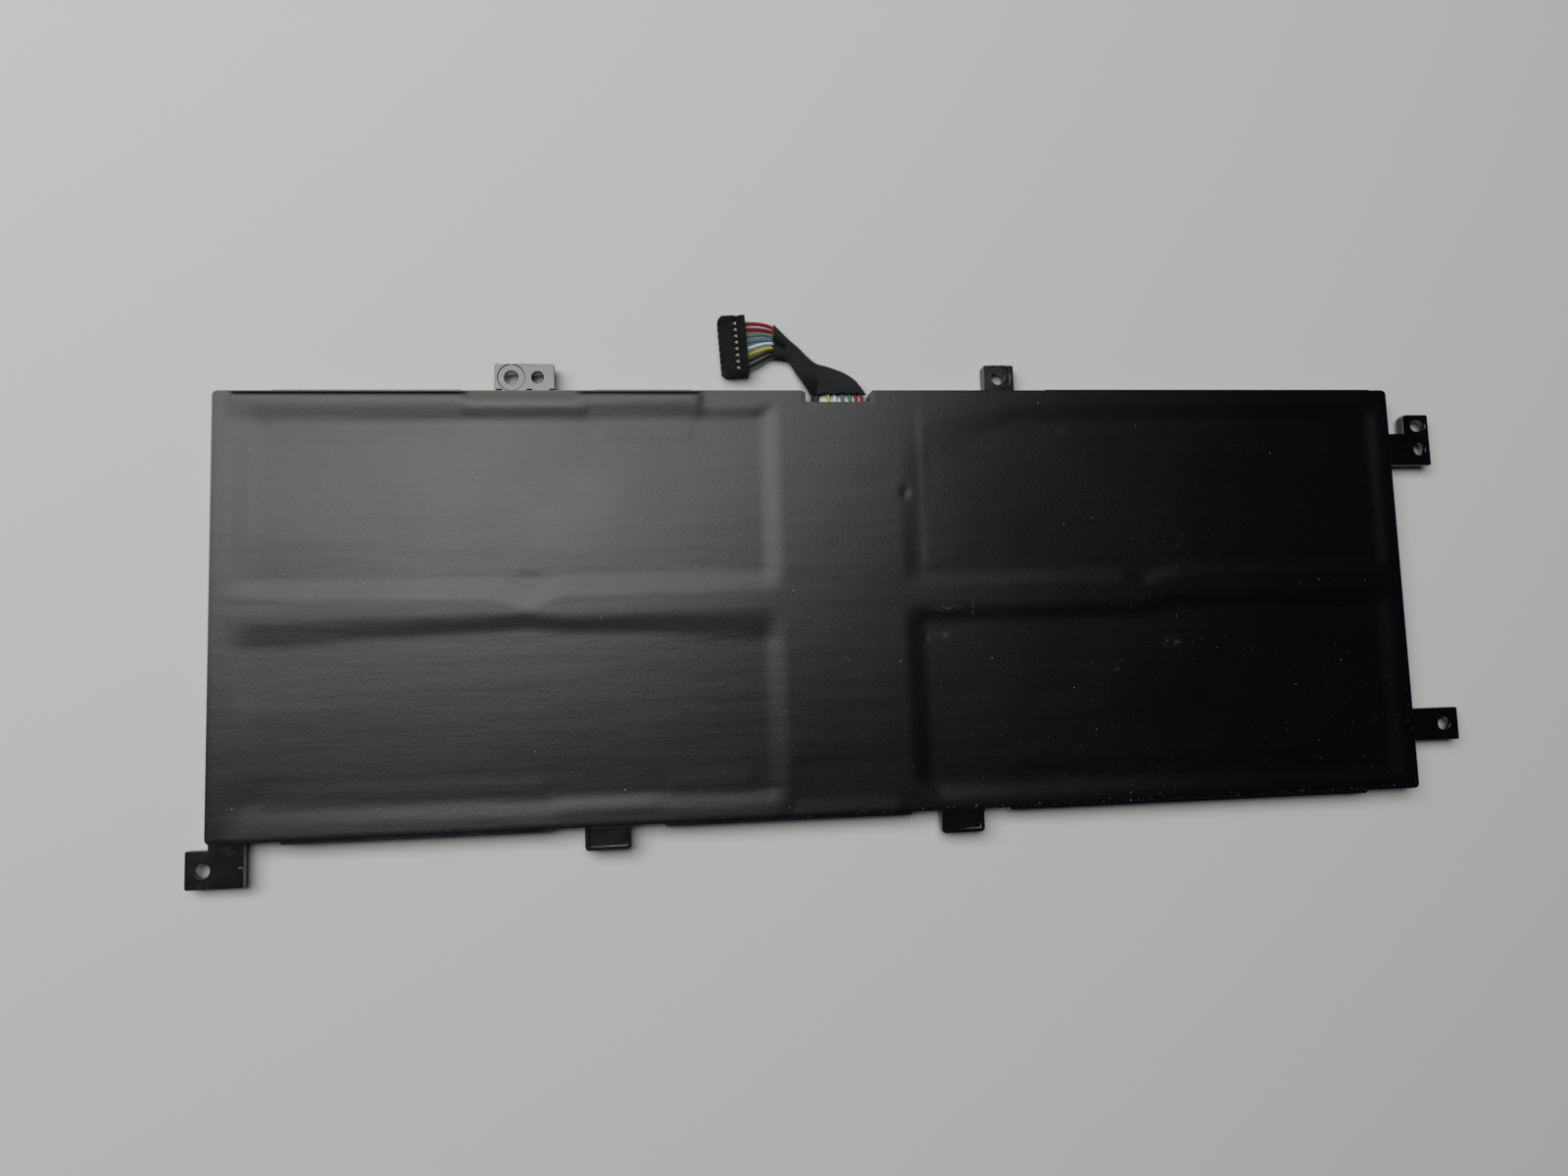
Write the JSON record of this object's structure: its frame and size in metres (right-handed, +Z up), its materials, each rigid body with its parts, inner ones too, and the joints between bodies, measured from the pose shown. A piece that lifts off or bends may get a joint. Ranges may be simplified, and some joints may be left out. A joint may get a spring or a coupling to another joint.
{
  "type": "laptop battery",
  "caption": "Flat internal laptop battery: moulded frame with screw tabs and hooking tongues, pouch cells and a board under black film, and a short sleeved lead with a plug",
  "frame": {"origin": "middle of the body's lower face, on the lower film", "axes": "+X along the pack towards the end with two screw tabs, +Y towards the edge that the lead leaves, +Z up to the sunk upper film"},
  "size_m": [0.2899, 0.124, 0.0054],
  "materials": {
    "frame_plastic": "smooth black moulded plastic with a soft gloss",
    "film_black": "fine matt black film",
    "cell_pouch": "satin laminated pouch foil",
    "tab_aluminium": "plain aluminium strip",
    "tab_nickel": "nickel strip and weld plates",
    "tape_amber": "amber insulating tape",
    "tape_clear": "thin double-sided tape",
    "board_green": "solder mask over glass fibre board",
    "pad_tin": "tinned solder pad",
    "chip_black": "moulded chip body",
    "resistor_metal": "metal strip resistor",
    "capacitor_tan": "ceramic chip",
    "bead_glass": "dark glass bead",
    "cover_paper": "insulating paper",
    "sleeve_cloth": "black woven cloth sleeve",
    "plug_plastic": "black moulded plug",
    "contact_tin": "tinned terminals",
    "wire_black": "black wire insulation",
    "wire_yellow": "yellow wire insulation",
    "wire_white": "white wire insulation",
    "wire_blue": "blue wire insulation",
    "wire_green": "green wire insulation",
    "wire_red": "red wire insulation"
  },
  "bodies": {
    "root": {"frame": "frame_plastic", "top_film": "film_black", "bottom_film": "film_black", "cell_upper_left": "cell_pouch", "cell_lower_left": "cell_pouch", "cell_upper_right": "cell_pouch", "cell_lower_right": "cell_pouch", "aluminium_tabs": "tab_aluminium", "nickel_tabs": "tab_nickel", "tab_tapes": "tape_amber", "cell_tapes": "tape_clear", "circuit_board": "board_green", "weld_plates": "tab_nickel", "wire_pads": "pad_tin", "gauge_chip": "chip_black", "switch_transistors": "chip_black", "chemical_fuse": "chip_black", "sense_resistor": "resistor_metal", "capacitors": "capacitor_tan", "thermistor": "bead_glass", "board_cover_sheet": "cover_paper", "lead_tape": "tape_clear", "cable_sleeve": "sleeve_cloth", "plug_housing": "plug_plastic", "plug_contacts": "contact_tin", "wire_black_1": "wire_black", "wire_black_2": "wire_black", "wire_yellow": "wire_yellow", "wire_white": "wire_white", "wire_blue": "wire_blue", "wire_green": "wire_green", "wire_red_1": "wire_red", "wire_red_2": "wire_red"}
  },
  "joints": []
}
